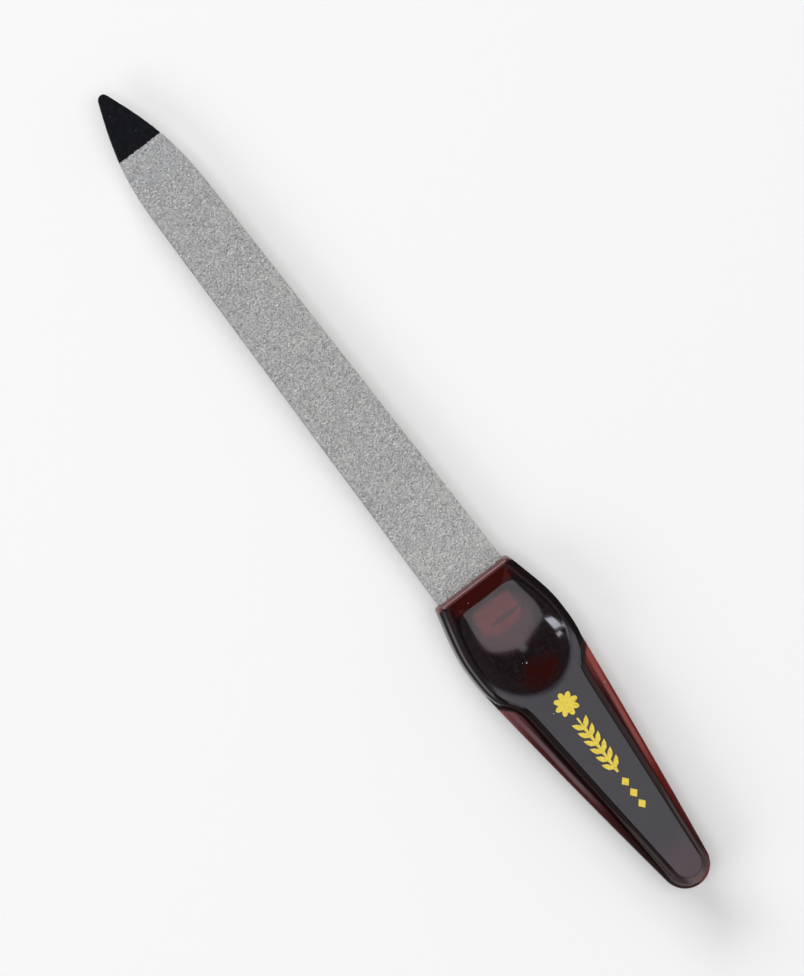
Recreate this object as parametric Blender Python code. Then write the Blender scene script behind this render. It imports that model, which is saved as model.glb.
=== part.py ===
"""Sapphire nail file: a steel blade with an abrasive coat on both faces, in a moulded plastic handle.

The file lies along X with its point towards +X and rests on the flat of its handle at z = 0.
The origin is under the middle of its bounding box. All sizes are in metres. Places on the blade
are measured from its point, and places in the handle from the handle's front edge.
"""

from math import acos, atan2, cos, hypot, pi, radians, sin
from typing import NamedTuple

import bmesh
import bpy
from mathutils import Vector
from mathutils.geometry import interpolate_bezier

# Blade
BLADE_LENGTH = 0.0801
HEEL_WIDTH = 0.0105
SHOULDER_WIDTH = 0.00876
POINT_LENGTH = 0.0180
NOSE_RADIUS = 0.0007
NOSE_ANGLE = radians(22)
POINT_FULLNESS = 0.42
SHOULDER_FULLNESS = 0.36
CORE_THICKNESS = 0.0008
BOND_THICKNESS = 0.00007
GRIT_THICKNESS = 0.00013
COAT_SETBACK = 0.00005

# Black coat on the point
TIP_COAT_LENGTH = 0.0086
TIP_COAT_WALL = 0.00012
TIP_COAT_ROUND = 0.00008

# Tang
HEEL_DEPTH = 0.0026
TANG_REACH = 0.0245
TANG_ROOT_WIDTH = 0.0063
TANG_END_WIDTH = 0.0046
KEY_HOLE_DIAMETER = 0.0026
FIRST_KEY_HOLE = 0.0068
SECOND_KEY_HOLE = 0.0163

# Handle
HANDLE_LENGTH = 0.0499
HANDLE_THICKNESS = 0.0060
FRONT_OVERHANG = 0.0008
FRONT_CORNER_RADIUS = 0.0006
FRONT_FLARE = radians(15)
BOLSTER_SWELL = 0.0017
BOLSTER_PLACE = 0.0103
NECK_PLACE = 0.0197
NECK_WIDTH = 0.0108
TAIL_RADIUS = 0.0033
TAIL_SETBACK = 0.00015
LEDGE_DROP = 0.00035
LEDGE_FALL = 0.00015
SHOULDER_DROP = 0.0012
FRONT_SHOULDER_SLOPE = 0.0003
BOLSTER_SHOULDER_SLOPE = 0.00013
RIB_SHOULDER_SLOPE = 0.00032
FRONT_WALL_SLOPE = 0.0002
BOLSTER_WALL_SLOPE = 0.00025
RIB_WALL_SLOPE = 0.00016
FRONT_LEDGE = 0.00022
BOLSTER_LEDGE = 0.00025
RIB_LEDGE = 0.0005
FRONT_RISER_SLOPE = 0.00023
BOLSTER_RISER_SLOPE = 0.00037
RIB_RISER_SLOPE = 0.0003
SIDE_LEAD = 0.62
SWELL_LEAD = 0.27
SHOULDER_LEAD = 0.78
NECK_LEAD = 0.54

# Wings beside the rib
WING_THICKNESS = 0.0017
WING_EDGE_ROUND = 0.0005
WING_SHOULDER = 0.0031
WING_SHOULDER_SETBACK = 0.00022
WING_ROOT = 0.0012
WING_ROOT_SETBACK = 0.0009
WING_BOW = 0.00012

# Thumb dish
DISH_LENGTH = 0.0166
DISH_DEPTH = 0.0011
DISH_CENTRE = 0.0072
DISH_FRONT_RIM = -0.00005
DISH_SIDE_RIM = 0.0002
DISH_FLATNESS = 2.6
DISH_ROUNDING = 1.5
DISH_SIDE_LIP = 0.00003
DISH_REAR_LIP = 0.00013
DISH_LIP_TRIM = 0.17
DISH_RINGS = 22
DISH_RING_CROWDING = 1.5
DISH_FIRST_SHARE = 1.08

# Foil ornament
FOIL_THICKNESS = 0.00003
ROSETTE_BEHIND_DISH = 0.0012
ROSETTE_RADIUS = 0.0017
ROSETTE_PETALS = 8
ROSETTE_NOTCH = 0.38
SPRAY_BEHIND_ROSETTE = 0.0006
SPRAY_SHARE = 0.37
STEM_WIDTH = 0.00028
LEAF_PITCH = 0.0013
LEAF_LENGTH = 0.0017
LEAF_WIDTH = 0.00075
LEAF_ANGLE = radians(38)
LEAF_SHAPE = ((0.05, -0.3), (0.3, -0.9), (0.65, -0.75), (1.0, 0.0), (0.7, 0.75), (0.35, 1.0), (0.0, 0.3))
LOZENGE_BEHIND_SPRAY = 0.0016
LOZENGE_LENGTH = 0.0014
LOZENGE_WIDTH = 0.0012
LOZENGE_PITCH = 0.0018

# Clearances
SEAT_GAP = 0.00002
POCKET_GAP = 0.00005

# How finely curves are divided, and small amounts that only the construction needs
ARC_STEPS = 9
RUN_STEPS = 16
PETAL_STEPS = 12
PEG_SIDES = 32
EDGE_STEPS = 2
BEZIER_QUARTER = 0.5523
CUT_REACH = 0.001
ON_AXIS = 1e-9
WELD_DISTANCE = 1e-7
SHARP_ANGLE = radians(13)

POINT_X = (BLADE_LENGTH + HANDLE_LENGTH) / 2
FRONT_X = POINT_X - BLADE_LENGTH
MID_Z = HANDLE_THICKNESS / 2
BLADE_HALF_THICKNESS = CORE_THICKNESS / 2 + BOND_THICKNESS + GRIT_THICKNESS + 2 * SEAT_GAP
FRONT_HALF_WIDTH = HEEL_WIDTH / 2 + FRONT_OVERHANG
BOLSTER_HALF_WIDTH = FRONT_HALF_WIDTH + BOLSTER_SWELL
TAIL_PLACE = HANDLE_LENGTH - TAIL_RADIUS


class Margins(NamedTuple):
    """How far an outline lies inside the handle's widest one, at its front, bolster and rib."""

    front: float
    bolster: float
    rib: float

    def grown(self, front, bolster, rib):
        return Margins(self.front + front, self.bolster + bolster, self.rib + rib)


WIDEST = Margins(0.0, 0.0, 0.0)
SHOULDER = Margins(FRONT_SHOULDER_SLOPE, BOLSTER_SHOULDER_SLOPE, RIB_SHOULDER_SLOPE)
LEDGE_OUTER = SHOULDER.grown(FRONT_WALL_SLOPE, BOLSTER_WALL_SLOPE, RIB_WALL_SLOPE)
LEDGE_INNER = LEDGE_OUTER.grown(FRONT_LEDGE, BOLSTER_LEDGE, RIB_LEDGE)
PLATEAU = LEDGE_INNER.grown(FRONT_RISER_SLOPE, BOLSTER_RISER_SLOPE, RIB_RISER_SLOPE)
DISH_RIM = PLATEAU.grown(DISH_FRONT_RIM, DISH_SIDE_RIM, DISH_SIDE_RIM)


def run(start, start_lead, end_lead, end, steps=RUN_STEPS):
    """Points of one smooth run, without its last one."""
    return interpolate_bezier(start, start + start_lead, end + end_lead, end, steps + 1)[:-1]


def arc(centre, radius, first, last, steps=ARC_STEPS):
    """Points of an arc, its angles turned from +X of the outline's own plane."""
    angles = (first + (last - first) * step / steps for step in range(steps + 1))
    return [centre + radius * Vector((cos(angle), sin(angle))) for angle in angles]


def tangent_angle(point, centre, radius):
    """Angle at which a line from the point touches the circle on its outer side."""
    away = point - centre
    return atan2(away.y, away.x) - acos(radius / away.length)


def mirrored(half):
    """The whole outline, from the half of it on +Y."""
    other = [Vector((point.x, -point.y)) for point in reversed(half) if point.y > ON_AXIS]
    return half + other


def moved_in(points, amount):
    """A side of the blade moved towards the axis, square to itself. An end on the axis stays on it."""
    result = []
    for i, point in enumerate(points):
        along = points[min(i + 1, len(points) - 1)] - points[max(i - 1, 0)]
        result.append(point + amount * Vector((along.y, -along.x)).normalized())
    if points[0].y < ON_AXIS:
        result[0].y = 0.0
    return result


def on_blade(half):
    """A half outline measured from the point, as a whole outline in the file's frame."""
    return [Vector((POINT_X - point.x, point.y)) for point in mirrored(half)]


def in_handle(half):
    """A half outline measured from the handle's front edge, whole and in the file's frame."""
    return [Vector((FRONT_X - point.x, point.y)) for point in mirrored(half)]


def blade_direction():
    """Direction of the blade's straight side, from the point towards the handle."""
    return Vector((BLADE_LENGTH - POINT_LENGTH, (HEEL_WIDTH - SHOULDER_WIDTH) / 2)).normalized()


def blade_side(end):
    """The blade's side from its nose back to a distance from the point."""
    nose = arc(Vector((NOSE_RADIUS, 0.0)), NOSE_RADIUS, pi, pi / 2 + NOSE_ANGLE)
    shoulder = Vector((POINT_LENGTH, SHOULDER_WIDTH / 2))
    lead = POINT_FULLNESS * POINT_LENGTH * Vector((cos(NOSE_ANGLE), sin(NOSE_ANGLE)))
    back_lead = -SHOULDER_FULLNESS * POINT_LENGTH * blade_direction()
    point = run(nose[-1], lead, back_lead, shoulder)
    straight = blade_direction() * (end - POINT_LENGTH) / blade_direction().x
    return nose + point[1:] + [shoulder, shoulder + straight]


def part_of_side(side, first, last):
    """The stretch of a side between two distances from the point."""
    inside = [point for point in side if first < point.x < last]
    return [at_distance(side, first)] + inside + [at_distance(side, last)]


def at_distance(side, distance):
    """The place on a side at a distance from the point."""
    for near, far in zip(side, side[1:]):
        if near.x <= distance <= far.x:
            return near.lerp(far, (distance - near.x) / (far.x - near.x))
    return side[-1] if distance > side[-1].x else side[0]


def tang_half_width(place):
    """Half the tang's width at a place behind the handle's front edge."""
    share = (place - HEEL_DEPTH) / (TANG_REACH - HEEL_DEPTH)
    return (TANG_ROOT_WIDTH + (TANG_END_WIDTH - TANG_ROOT_WIDTH) * share) / 2


def tang_half(start, gap):
    """The tang's half outline in the handle, from a place back to its round end."""
    centre = Vector((TANG_REACH - TANG_END_WIDTH / 2, 0.0))
    first = Vector((start, tang_half_width(start) + gap))
    radius = TANG_END_WIDTH / 2 + gap
    return [first] + arc(centre, radius, tangent_angle(first, centre, radius), 0.0)


def bolster_half(margins):
    """The front corner and the swelling side of a handle outline, without its widest point."""
    corner_width = FRONT_HALF_WIDTH - margins.bolster
    corner_place = margins.front + FRONT_CORNER_RADIUS
    centre = Vector((corner_place, corner_width - FRONT_CORNER_RADIUS * cos(FRONT_FLARE)))
    corner = arc(centre, FRONT_CORNER_RADIUS, pi, pi / 2 + FRONT_FLARE)
    widest = Vector((BOLSTER_PLACE, BOLSTER_HALF_WIDTH - margins.bolster))
    length = widest.x - corner[-1].x
    lead = SIDE_LEAD * length * Vector((cos(FRONT_FLARE), sin(FRONT_FLARE)))
    side = run(corner[-1], lead, Vector((-SWELL_LEAD * length, 0.0)), widest)
    return corner + side[1:], widest


def spade_outline(margins):
    """Outline of the bolster and the rib behind it, inside the widest one by the margins."""
    front, widest = bolster_half(margins)
    neck = Vector((NECK_PLACE, NECK_WIDTH / 2 - margins.rib))
    centre = Vector((TAIL_PLACE, 0.0))
    radius = TAIL_RADIUS - TAIL_SETBACK - margins.rib
    touch = tangent_angle(neck, centre, radius)
    tail = arc(centre, radius, touch, 0.0)
    length = neck.x - widest.x
    back_lead = -NECK_LEAD * length * (tail[0] - neck).normalized()
    shoulder = run(widest, Vector((SHOULDER_LEAD * length, 0.0)), back_lead, neck)
    return in_handle(front + shoulder + [neck] + tail)


def wing_outline():
    """The leaf outline of the wings, from its root hidden in the bolster to the tail."""
    shoulder = Vector((BOLSTER_PLACE + WING_SHOULDER, BOLSTER_HALF_WIDTH - WING_SHOULDER_SETBACK))
    root = Vector((BOLSTER_PLACE + WING_ROOT, BOLSTER_HALF_WIDTH - WING_ROOT_SETBACK))
    centre = Vector((TAIL_PLACE, 0.0))
    tail = arc(centre, TAIL_RADIUS, tangent_angle(shoulder, centre, TAIL_RADIUS), 0.0)
    along = (tail[0] - shoulder) / 3
    out = Vector((-along.y, along.x)).normalized() * WING_BOW * 4 / 3
    return in_handle([root] + run(shoulder, along + out, out - along, tail[0]) + tail)


def dish_outline():
    """The rim of the thumb dish: the bolster's sides and a half ellipse at the rear."""
    front, widest = bolster_half(DISH_RIM)
    middle = Vector((DISH_RIM.front, 0.0))
    edge = [middle.lerp(front[0], step / ARC_STEPS) for step in range(ARC_STEPS)]
    rear = Vector((DISH_RIM.front + DISH_LENGTH, 0.0))
    lead = Vector(((rear.x - widest.x) * BEZIER_QUARTER, 0.0))
    back_lead = Vector((0.0, widest.y * BEZIER_QUARTER))
    return in_handle(edge + front + run(widest, lead, back_lead, rear) + [rear])


def principled(name, colour, roughness, metallic=0.0):
    """A Principled material from a display colour."""
    material = bpy.data.materials.new(name)
    material.use_nodes = True
    shader = material.node_tree.nodes["Principled BSDF"]
    linear = [((value + 0.055) / 1.055) ** 2.4 for value in colour]
    shader.inputs["Base Color"].default_value = (*linear, 1.0)
    shader.inputs["Roughness"].default_value = roughness
    shader.inputs["Metallic"].default_value = metallic
    material.diffuse_color = (*linear, 1.0)
    return material


def new_object(name, mesh, collection):
    solid = bpy.data.objects.new(name, mesh)
    collection.objects.link(solid)
    return solid


def finished(solid, material):
    """Applies a solid's cuts, and gives it its material and smooth shading between sharp edges."""
    bpy.context.view_layer.update()
    evaluated = solid.evaluated_get(bpy.context.evaluated_depsgraph_get())
    mesh = bpy.data.meshes.new_from_object(evaluated)
    mesh.name = solid.name
    mesh.materials.clear()
    mesh.materials.append(material)
    mesh.shade_smooth()
    mesh.set_sharp_from_angle(angle=SHARP_ANGLE)
    solid.modifiers.clear()
    solid.data = mesh
    return solid


def plate(name, outline, low, high, collection, edge_round=0.0):
    """A flat plate of an outline between two heights, with rounded edges if asked."""
    curve = bpy.data.curves.new(name, "CURVE")
    curve.dimensions = "2D"
    curve.fill_mode = "BOTH"
    curve.extrude = (high - low) / 2 - edge_round
    curve.bevel_depth = edge_round
    curve.bevel_resolution = EDGE_STEPS
    curve.offset = -edge_round
    spline = curve.splines.new("POLY")
    spline.points.add(len(outline) - 1)
    for target, point in zip(spline.points, outline):
        target.co = (point.x, point.y, 0.0, 1.0)
    spline.use_cyclic_u = True
    flat = new_object(name + "_curve", curve, collection)
    flat.location.z = (low + high) / 2
    bpy.context.view_layer.update()
    evaluated = flat.evaluated_get(bpy.context.evaluated_depsgraph_get())
    mesh = bpy.data.meshes.new_from_object(evaluated)
    mesh.name = name
    solid = new_object(name, mesh, collection)
    solid.matrix_world = flat.matrix_world
    bpy.data.objects.remove(flat)
    weld(mesh)
    return solid


def weld(mesh):
    """Joins a mesh's loose caps to its sides and turns its faces outwards."""
    shape = bmesh.new()
    shape.from_mesh(mesh)
    bmesh.ops.remove_doubles(shape, verts=shape.verts, dist=WELD_DISTANCE)
    bmesh.ops.recalc_face_normals(shape, faces=shape.faces)
    shape.to_mesh(mesh)
    shape.free()


def level(outline, height):
    """An outline as a ring of points at one height."""
    return [Vector((point.x, point.y, height)) for point in outline]


def loft(name, rings, collection):
    """A closed solid through rings with equally many points."""
    shape = bmesh.new()
    loops = [[shape.verts.new(point) for point in ring] for ring in rings]
    for lower, upper in zip(loops, loops[1:]):
        for i in range(len(lower)):
            shape.faces.new((lower[i - 1], lower[i], upper[i], upper[i - 1]))
    shape.faces.new(loops[0])
    shape.faces.new(loops[-1])
    bmesh.ops.recalc_face_normals(shape, faces=shape.faces)
    mesh = bpy.data.meshes.new(name)
    shape.to_mesh(mesh)
    shape.free()
    return new_object(name, mesh, collection)


def peg(name, place, diameter, low, high, collection):
    """A round peg on the handle's axis."""
    shape = bmesh.new()
    radius = diameter / 2
    bmesh.ops.create_cone(
        shape, cap_ends=True, segments=PEG_SIDES, radius1=radius, radius2=radius, depth=high - low
    )
    mesh = bpy.data.meshes.new(name)
    shape.to_mesh(mesh)
    shape.free()
    solid = new_object(name, mesh, collection)
    solid.location = (FRONT_X - place, 0.0, (low + high) / 2)
    return solid


def boolean(solid, cutter, operation="DIFFERENCE"):
    modifier = solid.modifiers.new(cutter.name, "BOOLEAN")
    modifier.operation = operation
    modifier.solver = "EXACT"
    modifier.object = cutter
    cutter.hide_render = True
    cutter.display_type = "WIRE"


def key_holes():
    return {"first": FIRST_KEY_HOLE, "second": SECOND_KEY_HOLE}


def make_blade_blank(parts, cutters, steel):
    """The stamped steel blank: point, blade, shoulders and a tang with two key holes."""
    heel_end = BLADE_LENGTH + HEEL_DEPTH
    side = blade_side(heel_end)
    point = moved_in(part_of_side(side, 0.0, TIP_COAT_LENGTH), TIP_COAT_WALL)
    body = part_of_side(side, TIP_COAT_LENGTH, heel_end)
    tang = [Vector((BLADE_LENGTH + p.x, p.y)) for p in tang_half(HEEL_DEPTH, 0.0)]
    low, high = MID_Z - CORE_THICKNESS / 2, MID_Z + CORE_THICKNESS / 2
    blank = plate("blade_blank", on_blade(point + body + tang), low, high, parts)
    for name, place in key_holes().items():
        hole = peg(f"{name}_key_hole", place, KEY_HOLE_DIAMETER, low - CUT_REACH, high + CUT_REACH, cutters)
        boolean(blank, hole)
    return finished(blank, steel)


def make_coats(parts, resin, grit):
    """The bond coat and the grit layer on each face of the blank."""
    first, last = TIP_COAT_LENGTH + SEAT_GAP, BLADE_LENGTH + HEEL_DEPTH
    side = moved_in(part_of_side(blade_side(last), first, last), COAT_SETBACK)
    outline = on_blade(side)
    bond_low = CORE_THICKNESS / 2 + SEAT_GAP
    grit_low = bond_low + BOND_THICKNESS + SEAT_GAP
    layers = (
        ("bond_coat", bond_low, bond_low + BOND_THICKNESS, resin),
        ("grit_layer", grit_low, grit_low + GRIT_THICKNESS, grit),
    )
    for name, low, high, material in layers:
        finished(plate(f"upper_{name}", outline, MID_Z + low, MID_Z + high, parts), material)
        finished(plate(f"lower_{name}", outline, MID_Z - high, MID_Z - low, parts), material)


def make_tip_coat(parts, cutters, paint):
    """The smooth black coat that covers the blank's point, level with the grit."""
    side = part_of_side(blade_side(BLADE_LENGTH), 0.0, TIP_COAT_LENGTH)
    low, high = MID_Z - BLADE_HALF_THICKNESS, MID_Z + BLADE_HALF_THICKNESS
    coat = plate("tip_coat", on_blade(side), low, high, parts, TIP_COAT_ROUND)
    inner = moved_in(side, TIP_COAT_WALL - SEAT_GAP)
    inner.append(Vector((TIP_COAT_LENGTH + CUT_REACH, inner[-1].y)))
    reach = CORE_THICKNESS / 2 + SEAT_GAP
    boolean(coat, plate("tip_pocket", on_blade(inner), MID_Z - reach, MID_Z + reach, cutters))
    return finished(coat, paint)


def dish_ring(rim, share):
    """A line of the dish at a share of the way to its rim: the rim's shape at 1, rounder further in.

    Each of its points is a place and the depth there. A lip leads from the face into the bowl: it is
    crisp at the front and sides and grows soft towards the rear.
    """
    centre = Vector((FRONT_X - DISH_CENTRE, 0.0))
    front_reach = DISH_CENTRE - DISH_RIM.front
    rear_reach = DISH_LENGTH - front_reach
    side = BOLSTER_HALF_WIDTH - DISH_RIM.bolster
    roundness = max(0.0, 1.0 - share) ** DISH_ROUNDING
    bowl = DISH_DEPTH * (1.0 - share**DISH_FLATNESS)
    ring = []
    for point in rim:
        away = point - centre
        oval = 1.0 / hypot(away.x / (front_reach if away.x > 0 else rear_reach), away.y / side)
        place = centre + away * share * (1.0 + (oval - 1.0) * roundness)
        rearness = max(0.0, -away.x / rear_reach) ** 2
        lip = DISH_SIDE_LIP + (DISH_REAR_LIP - DISH_SIDE_LIP) * rearness
        ring.append((place, (bowl + hypot(bowl, lip)) / 2 - DISH_LIP_TRIM * lip))
    return ring


def make_dish_cutter(name, facing, cutters):
    """A bowl under one face of the handle, its lip on that face: facing is 1 above and -1 below."""
    rim = dish_outline()
    face = MID_Z + facing * HANDLE_THICKNESS / 2
    top = [place for place, depth in dish_ring(rim, DISH_FIRST_SHARE)]
    rings = [level(top, face + facing * CUT_REACH)]
    for step in range(DISH_RINGS):
        ring = dish_ring(rim, DISH_FIRST_SHARE * (1.0 - (step / DISH_RINGS) ** DISH_RING_CROWDING))
        rings.append([Vector((place.x, place.y, face - facing * depth)) for place, depth in ring])
    return loft(name, rings, cutters)


def make_pocket_cutters(cutters):
    """The stepped pocket in the handle: a mouth for the coated heel and a slot for the tang."""
    heel_end = BLADE_LENGTH + HEEL_DEPTH
    side = part_of_side(blade_side(heel_end), BLADE_LENGTH - CUT_REACH, heel_end)
    mouth_half = moved_in(side, -POCKET_GAP)
    mouth_half[-1].x += POCKET_GAP
    reach = BLADE_HALF_THICKNESS + POCKET_GAP
    mouth = plate("mouth", on_blade(mouth_half), MID_Z - reach, MID_Z + reach, cutters)
    reach = CORE_THICKNESS / 2 + POCKET_GAP
    low, high = MID_Z - reach, MID_Z + reach
    slot = plate("tang_slot", in_handle(tang_half(HEEL_DEPTH / 2, POCKET_GAP)), low, high, cutters)
    for name, place in key_holes().items():
        diameter = KEY_HOLE_DIAMETER - 2 * POCKET_GAP
        boolean(slot, peg(f"{name}_key_post", place, diameter, low - CUT_REACH, high + CUT_REACH, cutters))
    return mouth, slot


def make_handle(parts, cutters, plastic):
    """The one-piece moulded handle: spade body, wings, two thumb dishes and the tang pocket."""
    levels = (
        (PLATEAU, 0.0),
        (LEDGE_INNER, LEDGE_DROP),
        (LEDGE_OUTER, LEDGE_DROP + LEDGE_FALL),
        (SHOULDER, SHOULDER_DROP),
    )
    below = [level(spade_outline(margins), drop) for margins, drop in levels]
    above = [level(spade_outline(margins), HANDLE_THICKNESS - drop) for margins, drop in reversed(levels)]
    handle = loft("handle", below + [level(spade_outline(WIDEST), MID_Z)] + above, parts)
    reach = WING_THICKNESS / 2
    wings = plate("wings", wing_outline(), MID_Z - reach, MID_Z + reach, cutters, WING_EDGE_ROUND)
    boolean(handle, wings, "UNION")
    boolean(handle, make_dish_cutter("upper_dish", 1, cutters))
    boolean(handle, make_dish_cutter("lower_dish", -1, cutters))
    for cutter in make_pocket_cutters(cutters):
        boolean(handle, cutter)
    return finished(handle, plastic)


def foil(name, half, parts, material):
    """A foil mark on the upper plateau, from a half outline measured in the handle."""
    low = HANDLE_THICKNESS + SEAT_GAP
    return finished(plate(name, in_handle(half), low, low + FOIL_THICKNESS, parts), material)


def leaf(root):
    """One leaf from the stem's side, its tip turned towards the handle's front."""
    along = LEAF_LENGTH * Vector((-cos(LEAF_ANGLE), sin(LEAF_ANGLE)))
    across = LEAF_WIDTH / 2 * Vector((sin(LEAF_ANGLE), cos(LEAF_ANGLE)))
    return [root + along * far + across * wide for far, wide in LEAF_SHAPE]


def make_spray(start, end, parts, material):
    """A stem with pairs of leaves along the rib."""
    count = int((end - start) / LEAF_PITCH)
    half = [Vector((start, STEM_WIDTH / 2))]
    for i in range(count):
        half += leaf(Vector((end - (count - i - 0.5) * LEAF_PITCH, STEM_WIDTH / 2)))
    half.append(Vector((end, STEM_WIDTH / 2)))
    return foil("foil_leaf_spray", half, parts, material)


def make_rosette(place, parts, material):
    """A flower of round petals at the head of the stem."""
    steps = PETAL_STEPS * ROSETTE_PETALS // 2
    half = []
    for step in range(steps + 1):
        angle = pi * step / steps
        reach = ROSETTE_RADIUS * (1.0 - ROSETTE_NOTCH * (1.0 - abs(cos(angle * ROSETTE_PETALS / 2))))
        half.append(Vector((place - reach * cos(angle), reach * sin(angle))))
    return foil("foil_rosette", half, parts, material)


def make_lozenge(name, place, parts, material):
    """A lozenge on the rib's axis."""
    half = [Vector((place - LOZENGE_LENGTH / 2, 0.0)), Vector((place, LOZENGE_WIDTH / 2))]
    half.append(Vector((place + LOZENGE_LENGTH / 2, 0.0)))
    return foil(f"foil_lozenge_{name}", half, parts, material)


def make_ornament(parts, material):
    """The hot-stamped foil ornament on the rib: a rosette on a leafy stem, and three lozenges behind it."""
    flower = DISH_RIM.front + DISH_LENGTH + ROSETTE_BEHIND_DISH + ROSETTE_RADIUS
    make_rosette(flower, parts, material)
    start = flower + ROSETTE_RADIUS + SPRAY_BEHIND_ROSETTE
    end = start + SPRAY_SHARE * (TAIL_PLACE - start)
    make_spray(start, end, parts, material)
    for step, name in enumerate(("front", "middle", "rear")):
        make_lozenge(name, end + LOZENGE_BEHIND_SPRAY + step * LOZENGE_PITCH, parts, material)


def main():
    for item in list(bpy.data.objects):
        bpy.data.objects.remove(item)
    parts = bpy.data.collections.new("sapphire_nail_file")
    cutters = bpy.data.collections.new("cutters")
    for collection in (parts, cutters):
        bpy.context.scene.collection.children.link(collection)
    cutters.hide_render = True

    steel = principled("blade_steel", (0.62, 0.62, 0.63), 0.35, 1.0)
    resin = principled("bond_resin", (0.45, 0.45, 0.44), 0.6)
    grit = principled("sapphire_grit", (0.63, 0.63, 0.62), 0.75)
    paint = principled("tip_paint", (0.06, 0.06, 0.07), 0.6)
    plastic = principled("handle_plastic", (0.25, 0.09, 0.09), 0.3)
    gold = principled("foil", (0.90, 0.80, 0.33), 0.45)

    make_blade_blank(parts, cutters, steel)
    make_coats(parts, resin, grit)
    make_tip_coat(parts, cutters, paint)
    make_handle(parts, cutters, plastic)
    make_ornament(parts, gold)


main()
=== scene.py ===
"""Looks of a sapphire nail file: a grit-coated blade with a black point in a dark red handle.

Every length is in metres in the frame of the solids: X runs along the file towards its point,
Y across it and Z up out of the handle's upper face. Sizes inside a material are in millimetres.
"""

import logging
import math
from dataclasses import dataclass, field
from enum import Enum

import bpy
from mathutils import Matrix, Quaternion, Vector
from mathutils.geometry import convex_hull_2d

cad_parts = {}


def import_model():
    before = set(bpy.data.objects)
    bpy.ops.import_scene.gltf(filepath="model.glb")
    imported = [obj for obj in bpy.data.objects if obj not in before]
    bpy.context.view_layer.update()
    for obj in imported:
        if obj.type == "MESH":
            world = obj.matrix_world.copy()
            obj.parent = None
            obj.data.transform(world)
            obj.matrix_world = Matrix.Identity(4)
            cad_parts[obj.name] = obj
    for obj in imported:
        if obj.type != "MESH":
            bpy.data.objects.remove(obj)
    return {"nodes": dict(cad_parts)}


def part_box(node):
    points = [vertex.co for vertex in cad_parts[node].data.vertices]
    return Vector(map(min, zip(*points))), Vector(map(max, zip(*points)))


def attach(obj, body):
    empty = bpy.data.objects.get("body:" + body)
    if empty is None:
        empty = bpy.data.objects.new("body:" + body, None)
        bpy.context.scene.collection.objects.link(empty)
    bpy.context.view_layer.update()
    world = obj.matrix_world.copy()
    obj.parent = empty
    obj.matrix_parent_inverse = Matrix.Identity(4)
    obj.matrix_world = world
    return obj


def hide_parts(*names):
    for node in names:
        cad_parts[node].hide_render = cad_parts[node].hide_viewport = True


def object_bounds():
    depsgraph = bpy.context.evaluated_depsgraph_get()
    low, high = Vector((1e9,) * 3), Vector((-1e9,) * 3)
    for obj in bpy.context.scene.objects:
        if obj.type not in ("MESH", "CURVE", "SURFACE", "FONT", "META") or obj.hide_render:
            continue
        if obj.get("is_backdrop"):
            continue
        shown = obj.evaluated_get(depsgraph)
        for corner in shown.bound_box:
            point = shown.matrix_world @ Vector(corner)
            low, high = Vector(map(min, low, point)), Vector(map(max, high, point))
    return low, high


LOG = logging.getLogger("nail_file")
BODY = "root"
MM = 0.001
MIDDLE_OF_NOISE = 0.5

Feed = bpy.types.NodeSocket | float
Pair = tuple[float, float]
Corners = tuple[Vector, Vector]


class Face(Enum):
    """The two faces of the blade, with the way each one looks along Z."""

    UPPER = 1
    LOWER = -1


@dataclass(frozen=True)
class Colour:
    """A colour as a display shows it, each channel from 0 to 255."""

    red: float
    green: float
    blue: float

    def linear(self) -> tuple[float, float, float, float]:
        """The colour as the shaders take it.

        Returns:
            Red, green, blue and alpha, as linear light.
        """
        shares = (self.red / 255, self.green / 255, self.blue / 255)
        # The usual display curve: straight near black, a power above it
        light = [s / 12.92 if s <= 0.04045 else ((s + 0.055) / 1.055) ** 2.4 for s in shares]
        return (light[0], light[1], light[2], 1.0)


Sides = tuple[Colour, Colour]
WHITE = Colour(255, 255, 255)


@dataclass(frozen=True)
class Clouds:
    """Cloudy noise: its size in millimetres, its finer layers, and where a patch begins and is full."""

    size: float
    detail: float = 2.0
    roughness: float = 0.5
    turn: Pair = (0.3, 0.7)


@dataclass(frozen=True)
class Specks:
    """Small separate dots.

    The size is the width of the cell that may hold one, in millimetres. The share is how many of the cells
    do, and the radius is a share of the cell.
    """

    size: float
    share: float
    radius: float


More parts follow.
